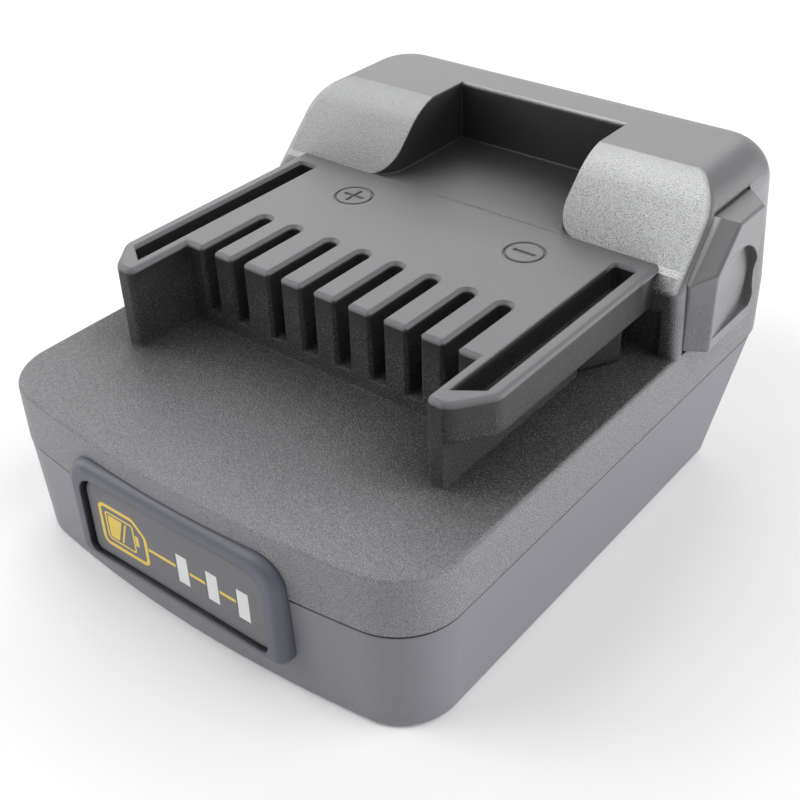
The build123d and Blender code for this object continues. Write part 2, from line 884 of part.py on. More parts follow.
def switch_body():
    """Push switch on the gauge board, with a blind bore for its plunger."""
    half = switch_size / 2
    body = block((panel_press_place - half, panel_press_place + half),
                 (gauge_board_y - switch_depth, gauge_board_y), (window_z - half, window_z + half))
    bore_end = plunger_y + plunger_length + plunger_travel_room
    return body - lying_post(panel_press_place, (plunger_y, bore_end), plunger_radius + press_gap)


def gauge_wires():
    """Wires from the gauge board over to the front edge of the main board."""
    start = (gauge_board_y + gauge_board_back_y) / 2
    riser = gauge_board_back_y + wire_riser_gap
    end = board_y + wire_end_inset
    wires = []
    for index in range(wire_count):
        x = wire_first + wire_pitch * index
        points = [(x, start, wire_low), (x, riser, wire_low), (x, riser, wire_high), (x, end, wire_high),
                  (x, end, board_z + board_thickness / 2)]
        path = FilletPolyline(*points, radius=wire_bend)
        section = Plane(origin=points[0], z_dir=(0, 1, 0)) * Circle(wire_radius)
        wires.append(sweep(section, path=path))
    return wires


def main_board():
    """Board on the receiver's roof, soldered to the terminals of both sides."""
    heights = (board_z - overrun, board_top_z + overrun)
    board = block((-board_half_width, board_half_width), (board_y, board_back_y), (board_z, board_top_z))
    for x, y in board_screw_spots:
        board -= post(x, y, heights, small_screw_radius + screw_pass_gap)
    board -= tail_passes(press_gap, heights)
    for index in live_slots:
        board -= clip_tail(slot_places[index], press_gap)
    for wire in gauge_wires():
        board -= wire
    return board


def board_package(x, y, size, height):
    """A flat electronic part on the main board."""
    size_x, size_y = size
    return block((x - size_x / 2, x + size_x / 2), (y - size_y / 2, y + size_y / 2),
                 (board_top_z, board_top_z + height))


def controller_chip():
    """Chip that reads the pack and drives the gauge."""
    return board_package(0, board_back_y - chip_inset, (chip_size, chip_size), chip_height)


def power_transistors():
    """Two switching transistors in the supply line."""
    y = holder_y + holder_length + transistor_gap + transistor_length / 2
    right = board_package(transistor_place, y, (transistor_width, transistor_length), transistor_height)
    return [right, mirrored(right)]


def capacitors():
    """Two smoothing capacitors."""
    y = holder_y - capacitor_gap - capacitor_radius
    return [post(side * capacitor_place, y, (board_top_z, board_top_z + capacitor_height), capacitor_radius)
            for side in (-1, 1)]


def clip_tail(x, grow):
    """Solder tail of a terminal clip."""
    half = clip_gap / 2 + clip_leaf + grow
    back = clip_y + clip_length
    return block((x - half, x + half), (back - clip_leaf - grow, back + grow),
                 (board_z - clip_foot_drop, slot_floor_z))


def terminal_clip(x):
    """Two spring leaves joined at the rear, over a solder tail."""
    back = clip_y + clip_length
    inner = clip_gap / 2
    outer = inner + clip_leaf
    top = platform_z - clip_top_drop
    leaves = block((x - outer, x + outer), (clip_y, back), (slot_floor_z, top))
    leaves -= block((x - inner, x + inner), (clip_y - overrun, back - clip_leaf),
                    (slot_floor_z - overrun, top + overrun))
    return leaves + clip_tail(x, 0)


def tool_terminals():
    """Clips that grip the tool's blades."""
    return [terminal_clip(slot_places[index]) for index in live_slots]


def terminal_holder():
    """Block that steadies the clips under the comb."""
    holder = block((-holder_half_width, holder_half_width), (holder_y, holder_y + holder_length),
                   (board_top_z, holder_top_z))
    for index in live_slots:
        holder -= clip_tail(slot_places[index], clip_fit)
    return holder


def receiver_blade(x):
    """Blade that enters the pack, with its tail up to the main board."""
    half = blade_thickness / 2
    tip = block_y + block_length + blade_reach
    blade = block((x - half, x + half), (blade_y, tip), (blade_low, blade_low + blade_height))
    nose = [edge for edge in blade.edges().filter_by(Axis.X) if edge.center().Y > tip - seam_step]
    blade = chamfer(nose, blade_thickness)
    return blade + block((x - half, x + half), (blade_y, blade_y + blade_tail_length),
                         (blade_low, board_top_z + blade_tail_stand))


def receiver_blades():
    """Blades of the pack's side."""
    return [receiver_blade(x) for x in blade_places]


def receiver_block():
    """Plastic block that carries the blades at the front of the receiver."""
    body = block((-block_half_width, block_half_width), (block_y, block_y + block_length),
                 (block_low, receiver_roof_z))
    for x in blade_places:
        body -= receiver_blade(x)
    for x, y in block_screw_spots:
        low = receiver_roof_z - block_screw_entry - screw_thread_gap
        body -= post(x, y, (low, receiver_roof_z + overrun), small_screw_radius + screw_thread_gap)
    return body


def button_plan():
    """The button seen from above: its front slants back and its rear tapers."""
    return closed_face([(button_inner, button_y), (half_width, button_y),
                        (button_outer, button_y + button_lean), (button_outer, button_back_y - button_tail),
                        (half_width, button_back_y), (button_inner, button_back_y)])


def latch_button():
    """Right-hand latch button, proud of the side wall, with a finger dish."""
    body = side_prism(button_side_face(0), button_inner, button_outer)
    body &= Pos(0, 0, deck_z) * extrude(button_plan(), amount=top_z - deck_z)
    body = fillet(edges_near(body, lambda c: c.X > half_width + seam_step), button_edge_round)
    return body - finger_dish()


def finger_dish():
    """Recess that deepens to the rear and ends in a round wall, over a flat ledge."""
    front = button_y + button_lean
    middle = button_y + dish_from_button
    end = middle + dish_radius
    clear = button_outer + overrun
    disc = Rot(0, 90, 0) * Cylinder(dish_radius, overrun * 2)
    disc = Pos(button_outer, middle, deck_z + dish_centre_rise) * disc
    ledge = block((half_width, clear), (front, end + overrun), (deck_z + dish_floor_rise, top_z))
    ramp = closed_face([(button_outer, front), (button_outer - dish_depth, end), (clear, end),
                        (clear, front)])
    return disc & ledge & (Pos(0, 0, deck_z) * extrude(ramp, amount=top_z - deck_z))


def latch_slider():
    """Carrier of the right-hand button: hook, arm, crossbar and yoke in one moulding."""
    heights = (hook_low_z, hook_low_z + hook_height)
    hook = Pos(0, 0, hook_low_z) * extrude(hook_face(), amount=hook_height)
    arm = block((arm_inner, arm_outer), (hook_y, crossbar_back_y), heights)
    crossbar = block((arm_inner, button_inner), (crossbar_y, crossbar_back_y), heights)
    yoke = block((button_inner - yoke_thickness, button_inner), (crossbar_y, crossbar_back_y),
                 (hook_low_z, hook_low_z + yoke_height))
    return hook + arm + crossbar + yoke + spring_spigot(arm_inner - spigot_length, arm_inner)


def spring_spigot(x_low, x_high):
    """Short round peg that keeps a latch spring in place."""
    peg = Rot(0, 90, 0) * Cylinder(spigot_radius, x_high - x_low)
    return Pos((x_low + x_high) / 2, spring_y, spring_z) * peg


def latch_spring():
    """Latch spring, between the spine and the slider."""
    height = arm_inner - spine_half_width - spring_wire_radius * 2
    path = Helix(pitch=height / spring_turns, height=height, radius=spring_radius)
    section = Plane(origin=path @ 0, z_dir=path % 0) * Circle(spring_wire_radius)
    coil = sweep(section, path=path, is_frenet=True)
    return Pos(spine_half_width + spring_wire_radius, spring_y, spring_z) * Rot(0, 90, 0) * coil


def latch_guide_plate():
    """Plate screwed under the slider, with the spine that the spring pushes against."""
    plate = block((-guide_plate_half_width, guide_plate_half_width), (guide_plate_y, guide_plate_back_y),
                  (guide_plate_low_z, guide_plate_top_z))
    spine_top_z = spring_z + spine_half_length
    spine = block((-spine_half_width, spine_half_width),
                  (spring_y - spine_half_length, spring_y + spine_half_length),
                  (guide_plate_low_z, spine_top_z))
    hollow = spine_half_width - spine_thickness
    hollow_length = spine_half_length - spine_thickness
    spine -= block((-hollow, hollow), (spring_y - hollow_length, spring_y + hollow_length),
                   (guide_plate_top_z, spine_top_z + overrun))
    plate += spine + spring_spigot(spine_half_width, spine_half_width + spigot_length)
    for x, y in guide_screw_spots:
        plate -= post(x, y, (guide_plate_low_z - overrun, guide_plate_top_z + overrun),
                      small_screw_radius + screw_pass_gap)
    return plate


def screw(spot, seat_z, length, way, shank, head, head_height):
    """A screw seated at a height; way is 1 where its shank points up, and -1 where it points down."""
    x, y = spot
    body = post(x, y, sorted((seat_z, seat_z + way * length)), shank)
    body += post(x, y, sorted((seat_z, seat_z - way * head_height)), head)
    floor_z = seat_z - way * head_height * screw_cross_depth_share
    depths = sorted((floor_z, seat_z - way * (head_height + overrun)))
    bar = head * screw_cross_width_share / 2
    arm = head - bar * 2
    cross = block((x - arm, x + arm), (y - bar, y + bar), depths)
    cross += block((x - bar, x + bar), (y - arm, y + arm), depths)
    return body - cross


def large_screw(spot, seat_z, length, way):
    """A screw of the size that holds the housings together."""
    return screw(spot, seat_z, length, way, screw_radius, screw_head_radius, screw_head_height)


def small_screw(spot, seat_z, length, way):
    """A screw of the size that holds the pieces inside."""
    return screw(spot, seat_z, length, way, small_screw_radius, small_head_radius, small_head_height)


def housing_screws():
    """Screws from below that hold the housings together."""
    length = seam_z - housing_screw_rise + housing_screw_entry
    return [large_screw(spot, housing_screw_rise, length, 1) for spot in housing_screw_spots]


def guide_screws():
    """Screws that hold the guide plate under the platform."""
    length = guide_plate_thickness + guide_screw_entry
    return [small_screw(spot, guide_plate_low_z, length, 1) for spot in guide_screw_spots]


def board_screws():
    """Screws that hold the main board on its posts."""
    length = board_thickness + board_screw_entry
    return [small_screw(spot, board_top_z, length, -1) for spot in board_screw_spots]


def block_screws():
    """Screws that hold the receiver block up against the roof."""
    length = bay_floor + block_screw_entry
    return [small_screw(spot, bay_z, length, -1) for spot in block_screw_spots]


def write_part(name, solids):
    """Write one node of one or several solids, moved so that the button's side balances the box."""
    group = solids if isinstance(solids, list) else [solids]
    pieces = [Pos(-button_proud / 2, 0, 0) * piece for item in group for piece in item.solids()]
    shape = pieces[0] if len(pieces) == 1 else Compound(children=pieces)
    shape.label = name
    export_step(shape, f"parts/{name}.step")


def main():
    """Build every node and write it."""
    os.makedirs("parts", exist_ok=True)
    nodes = {
        "upper_housing": upper_housing(),
        "lower_housing": lower_housing(),
        "gauge_bezel": gauge_bezel(),
        "gauge_panel": gauge_panel(),
        "level_windows": level_windows(),
        "gauge_board": gauge_board(),
        "gauge_leds": gauge_leds(),
        "switch_body": switch_body(),
        "switch_plunger": switch_plunger(),
        "gauge_wires": gauge_wires(),
        "main_board": main_board(),
        "controller_chip": controller_chip(),
        "power_transistors": power_transistors(),
        "capacitors": capacitors(),
        "terminal_holder": terminal_holder(),
        "tool_terminals": tool_terminals(),
        "receiver_block": receiver_block(),
        "receiver_blades": receiver_blades(),
        "latch_guide_plate": latch_guide_plate(),
        "latch_button": latch_button(),
        "latch_slider": latch_slider(),
        "latch_spring": latch_spring(),
        "housing_screws": housing_screws(),
        "guide_screws": guide_screws(),
        "board_screws": board_screws(),
        "block_screws": block_screws(),
    }
    for name, solids in nodes.items():
        write_part(name, solids)


if __name__ == "__main__":
    main()
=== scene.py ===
import math

import bmesh
import bpy
from bpy.props import FloatProperty, FloatVectorProperty, PointerProperty
from bpy.types import Operator, Panel, PropertyGroup
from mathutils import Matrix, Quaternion, Vector


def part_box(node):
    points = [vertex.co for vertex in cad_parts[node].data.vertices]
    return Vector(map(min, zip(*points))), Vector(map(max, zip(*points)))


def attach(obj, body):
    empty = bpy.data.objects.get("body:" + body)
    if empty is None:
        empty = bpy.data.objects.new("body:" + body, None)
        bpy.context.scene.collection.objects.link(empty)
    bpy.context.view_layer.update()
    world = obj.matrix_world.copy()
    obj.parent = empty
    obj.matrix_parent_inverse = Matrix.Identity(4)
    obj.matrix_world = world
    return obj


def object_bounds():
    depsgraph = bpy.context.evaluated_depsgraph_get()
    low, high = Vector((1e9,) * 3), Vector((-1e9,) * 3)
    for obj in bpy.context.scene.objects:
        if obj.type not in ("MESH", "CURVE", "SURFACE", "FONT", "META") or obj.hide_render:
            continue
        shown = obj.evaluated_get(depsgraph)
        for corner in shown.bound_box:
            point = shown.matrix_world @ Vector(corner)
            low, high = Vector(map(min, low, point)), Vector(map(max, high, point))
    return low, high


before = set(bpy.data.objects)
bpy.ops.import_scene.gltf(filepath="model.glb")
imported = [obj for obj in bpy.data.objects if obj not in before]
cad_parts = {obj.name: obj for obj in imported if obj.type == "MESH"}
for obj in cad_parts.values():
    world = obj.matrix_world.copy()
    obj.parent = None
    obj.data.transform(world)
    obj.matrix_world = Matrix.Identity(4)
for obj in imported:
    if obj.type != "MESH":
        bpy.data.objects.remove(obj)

bl_info = {
    "name": "Tool battery adapter",
    "version": (1, 0, 0),
    "blender": (4, 5, 0),
    "location": "3D View > Sidebar > Adapter",
    "description": "Finishes, printed gauge and stage of a tool battery adapter",
    "category": "Object",
}

cad_low, cad_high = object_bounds()
panel_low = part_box("gauge_panel")[0]
window_low, window_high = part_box("level_windows")

# Borders where a finish changes: axis, place and width of the blend, in metres.
TOWER_FRONT = ("Y", 0.0090, 0.002)
BUTTON_SIDE = ("X", 0.0355, 0.001)
# Painted light on the horn slopes grows from half to full across this band, so it is stronger to the right.
HORN_RIGHT_LIGHT = ("X", -0.010, 0.030)
# Deck top, rail back and rail sides bound the painted shade on upright walls between the rails.
DECK_TOP = ("Z", 0.0262, 0.0004)
RAIL_BACK = ("Y", 0.0110, 0.002)
RAIL_RIGHT = ("X", 0.0320, 0.001)
RAIL_LEFT = ("X", -0.0330, 0.001)
# Faces in the band of the engraved marks are kept clear of the painted shade in hollows.
MARKS_FLOOR = ("Z", 0.0380, 0.0002)
MARKS_TOP = ("Z", 0.03872, 0.00004)
SMOOTH_BLEND = 0.005

# The horns' slopes look this way; a face begins to count as slope at the first share of agreement with it
# and counts fully at the second. The slopes so found get the coarse grain and a painted light that makes
# them paler.
SLOPE_WAY = (0.0, -0.707, 0.707)
SLOPE_FROM = 0.73
SLOPE_FULL = 0.99
UP = (0.0, 0.0, 1.0)

# Moulded plastic: sizes in metres, and tones as shares of the plastic's own colour.
CLOUD_SIZE = 0.018
CLOUD_TONES = (0.94, 1.06)
CLOUD_ROUGHNESS = 0.08
SLOPE_EXTRA = 0.4
SMOOTH_SHARE = 0.1
# The pits' speckle in the colour is painted glints and painted shade of the pits.
GLINT_SPECKLE_GAIN = 1.9
PALE_GLINT_SHARE = 0.4
EDGE_GAIN = 5.0
SCUFF_SIZE = 0.0012
SCUFF_FROM = 0.42
SCUFF_GAIN = 3.0
RUBBED_TONE = 2.2
RUBBED_POLISH = 0.1
# The upright mask carries the painted light on upright faces and the painted shade between the rails.
UPRIGHT_STEEPNESS = 5.0
# Painted shade in slots, corners and hollows: how far the openness looks, where the shade begins and how
# fast it deepens.
HOLLOW_SHADE_REACH = 0.030
HOLLOW_SHADE_FROM = 0.79
HOLLOW_SHADE_STEEPNESS = 5.6
BLACK = (0.0, 0.0, 0.0, 1.0)
WHITE = (1.0, 1.0, 1.0, 1.0)

# Other finishes: pattern sizes, softened edges and relief depths in metres, tones as shares of the colour.
ROUGHNESS_SPREAD = 0.1
DRAWING_LINES = (0.0002, 0.004, 0.0002)
DRAWING_DEPTH = 0.000008
DRAWING_ROUGHNESS = 0.16
DULL_SIZE = 0.0015
METAL_TONES = (0.72, 1.05)
METAL_EDGE = 0.0001
FROST_SIZE = 0.004
FROST_TONES = (0.9, 1.06)
FROST_ROUGHNESS = 0.34
FROST_GRAIN = 0.0004
INK_GRAIN = 0.0007
INK_TONES = (0.86, 1.05)
INK_ROUGHNESS = 0.42
FAINT_DEPTH = 0.00001
TRACK_PITCH = 0.004
TRACK_WIDTH = 0.06
TRACK_DEPTH = 0.00004
MASK_CLOUD = 0.006
MASK_ROUGHNESS = 0.3
PAPER_GRAIN = 0.002
PAPER_TONES = (0.99, 1.0)

# Print on the gauge's panel, in metres: X and Z of corners, and the radii at them.
FRAME_CORNERS = [(-0.01595, 0.0093), (-0.0066, 0.0093), (-0.0066, 0.0145), (-0.0089, 0.0168),
                 (-0.01595, 0.0168)]
FRAME_RADII = [0.0012, 0.0012, 0.0013, 0.0013, 0.0012]
SIGN_BOX = (-0.0148, 0.0105, -0.0091, 0.0155)
SIGN_RADIUS = 0.0006
FILL_BOX = (-0.01425, 0.0111, -0.01195, 0.0149)
BAR_BOX = (-0.0114, 0.0111, -0.01105, 0.0149)
POLE_BOX = (-0.0090, 0.0121, -0.0083, 0.0139)
FILL_RADIUS = 0.0001
LINE_START = -0.0064
LINE_HEIGHT = 0.01275
WINDOW_COUNT = 3
WINDOW_WIDTH = 0.00205
WINDOW_MARGIN = 0.0003

# Camera and softboxes, in metres: where each stands, and width and height of a box.
CAMERA_SPOT = (0.09933, -0.12338, 0.12362)
CAMERA_AIM = (-0.00153, -0.00103, 0.01206)
CAMERA_SENSOR = 36.0
CAMERA_NEAR = 0.01
SOFTBOXES = (
    ("softbox_rear", (-0.45, 0.55, 0.50), (0.9, 0.6), "rear_level"),
    ("softbox_left", (-0.76, -0.38, 0.42), (0.6, 0.6), "front_level"),
    ("softbox_front", (-0.32, -0.37, 0.63), (0.4, 0.4), "front_level"),
    ("softbox_high", (0.43, 0.05, 0.72), (0.5, 0.5), "front_level"),
    ("softbox_right", (0.70, 0.55, 0.16), (0.6, 0.5), "right_level"),
)
FLOOR_DROP = 0.0001
FLOOR_GLOW = 0.12
FLOOR_SIDES = 64


def colour(name, default, description):
    """A colour setting in linear light."""
    return FloatVectorProperty(name=name, description=description, subtype="COLOR", size=3,
                               min=0.0, max=1.0, default=default)


def share(name, default, description):
    """A setting from nothing to all."""
    return FloatProperty(name=name, description=description, subtype="FACTOR",
                         min=0.0, max=1.0, default=default)


def length(name, default, description):
    """A length setting in metres."""
    return FloatProperty(name=name, description=description, unit="LENGTH", precision=5, default=default)


def amount(name, default, description):
    """A setting that is nothing or more."""
    return FloatProperty(name=name, description=description, min=0.0, default=default)


class AdapterCasing(PropertyGroup):
    """Finish of the moulded housings and the latch button."""

    shell_colour: colour("Shell colour", (0.119, 0.120, 0.126), "Spark-eroded plastic of the upper housing")
    base_colour: colour("Base colour", (0.140, 0.141, 0.157), "Satin plastic of the lower housing")
    button_colour: colour("Button colour", (0.120, 0.120, 0.126), "Plastic of the latch button")
    shell_roughness: share("Shell roughness", 0.42, "Roughness of the spark-eroded plastic")
    base_roughness: share("Base roughness", 0.38, "Roughness of the satin plastic")
    # Above this height both the coarse grain and the painted light of the lower part fade out.
    smooth_height: length("Smooth height", 0.0330, "Height at which the coarse grain begins to fade")
    grain_size: length("Grain size", 0.00017, "Size of the pits left by spark erosion")
    grain_depth: length("Grain depth", 0.00025, "Depth of those pits")
    # Painted glints and shade: how much the tone changes from pit to pit.
    glint_speckle: share("Speckle", 0.9, "How much the tone changes from pit to pit")
    # Painted light: everything below the smooth height, the lower housing too, is painted paler.
    painted_lower_light: amount("Deck gain", 2.0, "How much paler the coarse grain makes the lower part")
    # Painted shade: tone of the upright walls between the rails and under their flanges.
    painted_rail_shade: amount("Rail gain", 0.45, "Tone of the rail's upright walls, against the colour")
    # Painted light: how much paler the horn slopes are painted, for the lamps that fall on them.
    painted_slope_light: amount("Slope gain", 8.2, "How much paler the coarse slopes are")
    # Painted light: how much paler upright faces are painted, for light thrown up by the floor.
    painted_side_light: amount("Side gain", 2.6, "How much paler the upright sides are")
    wear_radius: length("Wear radius", 0.0005, "How far the rubbed band reaches from an edge")


class AdapterGauge(PropertyGroup):
    """Finish and print of the level gauge."""

    bezel_colour: colour("Bezel colour", (0.049, 0.051, 0.064), "Satin plastic of the bezel")
    panel_colour: colour("Panel colour", (0.070, 0.070, 0.075), "Matt plastic of the rocking panel")
    window_colour: colour("Window colour", (0.86, 0.88, 0.87), "Frosted plastic of the level windows")
    print_colour: colour("Print colour", (0.95, 0.68, 0.13), "Ink of the battery sign and its line")
    bezel_roughness: share("Bezel roughness", 0.36, "Roughness of the bezel")
    panel_roughness: share("Panel roughness", 0.50, "Roughness of the panel")
    print_height: length("Print height", 0.00003, "How far the ink stands proud of the panel")
    line_width: length("Line width", 0.0005, "Width of the printed line to the windows")
    frame_width: length("Frame width", 0.0006, "Stroke of the outer printed frame")
    sign_width: length("Sign width", 0.0003, "Stroke of the battery outline")
    sign_lean: length("Sign lean", 0.0006, "How far the fill of the battery leans to the right")


class AdapterInside(PropertyGroup):
    """Colours of the pieces inside and of the contacts."""

    slider_colour: colour("Slider colour", (0.025, 0.025, 0.028), "Plastic of the slider and guide plate")
    holder_colour: colour("Holder colour", (0.03, 0.03, 0.034), "Plastic that holds the contacts")
    switch_colour: colour("Switch colour", (0.05, 0.05, 0.05), "Plastic of the push switch")
    package_colour: colour("Package colour", (0.03, 0.03, 0.03), "Packages of the chip and the transistors")
    sleeve_colour: colour("Sleeve colour", (0.5, 0.05, 0.04), "Sleeves of the wires")
    lamp_colour: colour("Lamp colour", (0.85, 0.85, 0.8), "Milky plastic of the lamps")
    mask_dark: colour("Mask, dark", (0.02, 0.15, 0.06), "Darkest patches of the boards' solder mask")
    mask_pale: colour("Mask, pale", (0.03, 0.21, 0.09), "Palest patches of the boards' solder mask")
    track_colour: colour("Track colour", (0.07, 0.33, 0.13), "Solder mask where a track lies under it")
    contact_colour: colour("Contact colour", (0.8, 0.68, 0.42), "Metal of the contacts")
    spring_colour: colour("Spring colour", (0.6, 0.6, 0.62), "Steel of the latch spring")
    can_colour: colour("Can colour", (0.75, 0.75, 0.77), "Cans of the capacitors")
    screw_colour: colour("Screw colour", (0.35, 0.35, 0.37), "Steel of the screws")


class AdapterStage(PropertyGroup):
    """Camera, lamps and floor."""

    lens: FloatProperty(name="Lens", description="Focal length of the camera", unit="CAMERA", default=55.95)
    roll: FloatProperty(name="Roll", description="Turn of the camera about its own axis", subtype="ANGLE",
                        default=math.radians(-1.903))
    floor_reach: length("Floor reach", 3.0, "Distance from the object to the edge of the floor")
    floor_colour: colour("Floor colour", (0.86, 0.86, 0.86), "Paper that the object stands on")
    sky_level: amount("Sky level", 0.14, "Light from all round")
    rear_level: amount("Rear level", 2.2, "Brightness of the softbox at the left rear")
    front_level: amount("Front level", 3.4, "Brightness of the softboxes at the left, in front and overhead")
    right_level: amount("Right level", 5.4, "Brightness of the softbox at the right")


class Value:
    """A socket that takes part in Python expressions; each operator adds a Math node."""

    def __init__(self, nodes, socket):
        self.nodes = nodes
        self.socket = socket

    def math(self, operation, *values):
        """Adds the Math node of one operation."""
        return self.nodes.node("ShaderNodeMath", {"operation": operation}, dict(enumerate(values)))

    def __add__(self, other):
        return self.math("ADD", self, other)

    def __sub__(self, other):
        return self.math("SUBTRACT", self, other)

    def __rsub__(self, other):
        return self.math("SUBTRACT", other, self)

    def __mul__(self, other):
        return self.math("MULTIPLY", self, other)

    def __truediv__(self, other):
        return self.math("DIVIDE", self, other)

    __radd__ = __add__
    __rmul__ = __mul__

    def clamped(self):
        """The value kept between 0 and 1."""
        return self.nodes.node("ShaderNodeClamp", {}, {"Value": self})

    def or_more(self, other):
        """The larger of two values."""
        return self.math("MAXIMUM", self, other)


class Nodes:
    """A node tree in the making."""

    def __init__(self, tree):
        self.tree = tree

    def node(self, kind, settings, values, output=0):
        """Adds a node: its settings first, then the values or links of its sockets."""
        made = self.tree.nodes.new(kind)
        for key, value in settings.items():
            setattr(made, key, value)
        for key, value in values.items():
            self.join(value, made.inputs[key])
        return Value(self, made.outputs[output]) if made.outputs else None

    def join(self, value, socket):
        """Links a value to a socket, or writes a number or colour in it."""
        if isinstance(value, Value):
            self.tree.links.new(value.socket, socket)
        else:
            socket.default_value = value


class Finish(Nodes):
    """A material in the making: its nodes, and the shader that they feed."""

    def __init__(self, name, **constants):
        self.material = bpy.data.materials.new(name)
        self.material.use_nodes = True
        super().__init__(self.material.node_tree)
        self.shader = self.tree.nodes["Principled BSDF"]
        for key, value in constants.items():
            self.shader.inputs[key.replace("_", " ")].default_value = value

    def feed(self, **values):
        """Joins what varies over the surface to the shader."""
        for key, value in values.items():
            self.join(value, self.shader.inputs[key.replace("_", " ")])

    def metres(self):
        """Coordinates on the object."""
        return self.node("ShaderNodeTexCoord", {}, {}, "Object")

    def place(self, size):
        """Coordinates on the object in steps of one size."""
        return self.node("ShaderNodeVectorMath", {"operation": "SCALE"},
                         {0: self.metres(), "Scale": 1.0 / size})

    def dot(self, one, other):
        """How far two directions agree."""
        return self.node("ShaderNodeVectorMath", {"operation": "DOT_PRODUCT"}, {0: one, 1: other}, "Value")

    def normal(self, output="Normal"):
        """The way that the surface looks."""
        return self.node("ShaderNodeNewGeometry", {}, {}, output)

    def noise(self, size, detail=2.0, roughness=0.5):
        """Cloudy pattern from 0 to 1 with features of about one size."""
        return self.node("ShaderNodeTexNoise", {}, {"Vector": self.place(size), "Scale": 1.0,
                                                    "Detail": detail, "Roughness": roughness}, "Fac")

    def mixed(self, low, high, factor):
        """One colour turning into another."""
        return self.node("ShaderNodeMix", {"data_type": "RGBA"}, {0: factor, 6: low, 7: high}, 2)

    def clouded(self, rgb, tones, cloud):
        """A colour that drifts between two of its tones."""
        return self.mixed(opaque(rgb, tones[0]), opaque(rgb, tones[1]), cloud)

    def rounded_normal(self, radius):
        """Normals that turn softly over each edge."""
        return self.node("ShaderNodeBevel", {"samples": 6}, {"Radius": radius})

    def edges(self, rounded, gain):
        """A mask along the edges: how far the softened normal leaves the face's own."""
        return ((1.0 - self.dot(rounded, self.normal())) * gain).clamped()

    def openness(self, reach):
        """How open each point lies: 1 in the open, towards 0 deep in a slot or corner."""
        return self.node("ShaderNodeAmbientOcclusion", {"samples": 6, "only_local": True},
                         {"Distance": reach}, "AO")

    def facing(self, way, low, high):
        """A mask for the faces that look one way."""
        return ((self.dot(self.normal(), way) - low) / (high - low)).clamped()

    def upright(self):
        """A mask for the faces that stand upright."""
        rise = self.dot(self.normal("True Normal"), UP)
        return (1.0 - rise * rise * UPRIGHT_STEEPNESS).clamped()

    def beyond(self, axis, place, band):
        """A mask for what lies beyond a place along one axis of the object."""
        along = self.node("ShaderNodeSeparateXYZ", {}, {0: self.metres()}, axis)
        return ((along - place) / band).clamped()

    def bump(self, height, distance, normal=None):
        """Normals pushed about by a height."""
        values = {"Height": height, "Distance": distance, "Strength": 1.0}
        if normal:
            values["Normal"] = normal
        return self.node("ShaderNodeBump", {}, values)


def opaque(rgb, gain=1.0):
    """A colour for a socket, made lighter or darker."""
    return tuple(min(1.0, channel * gain) for channel in rgb) + (1.0,)


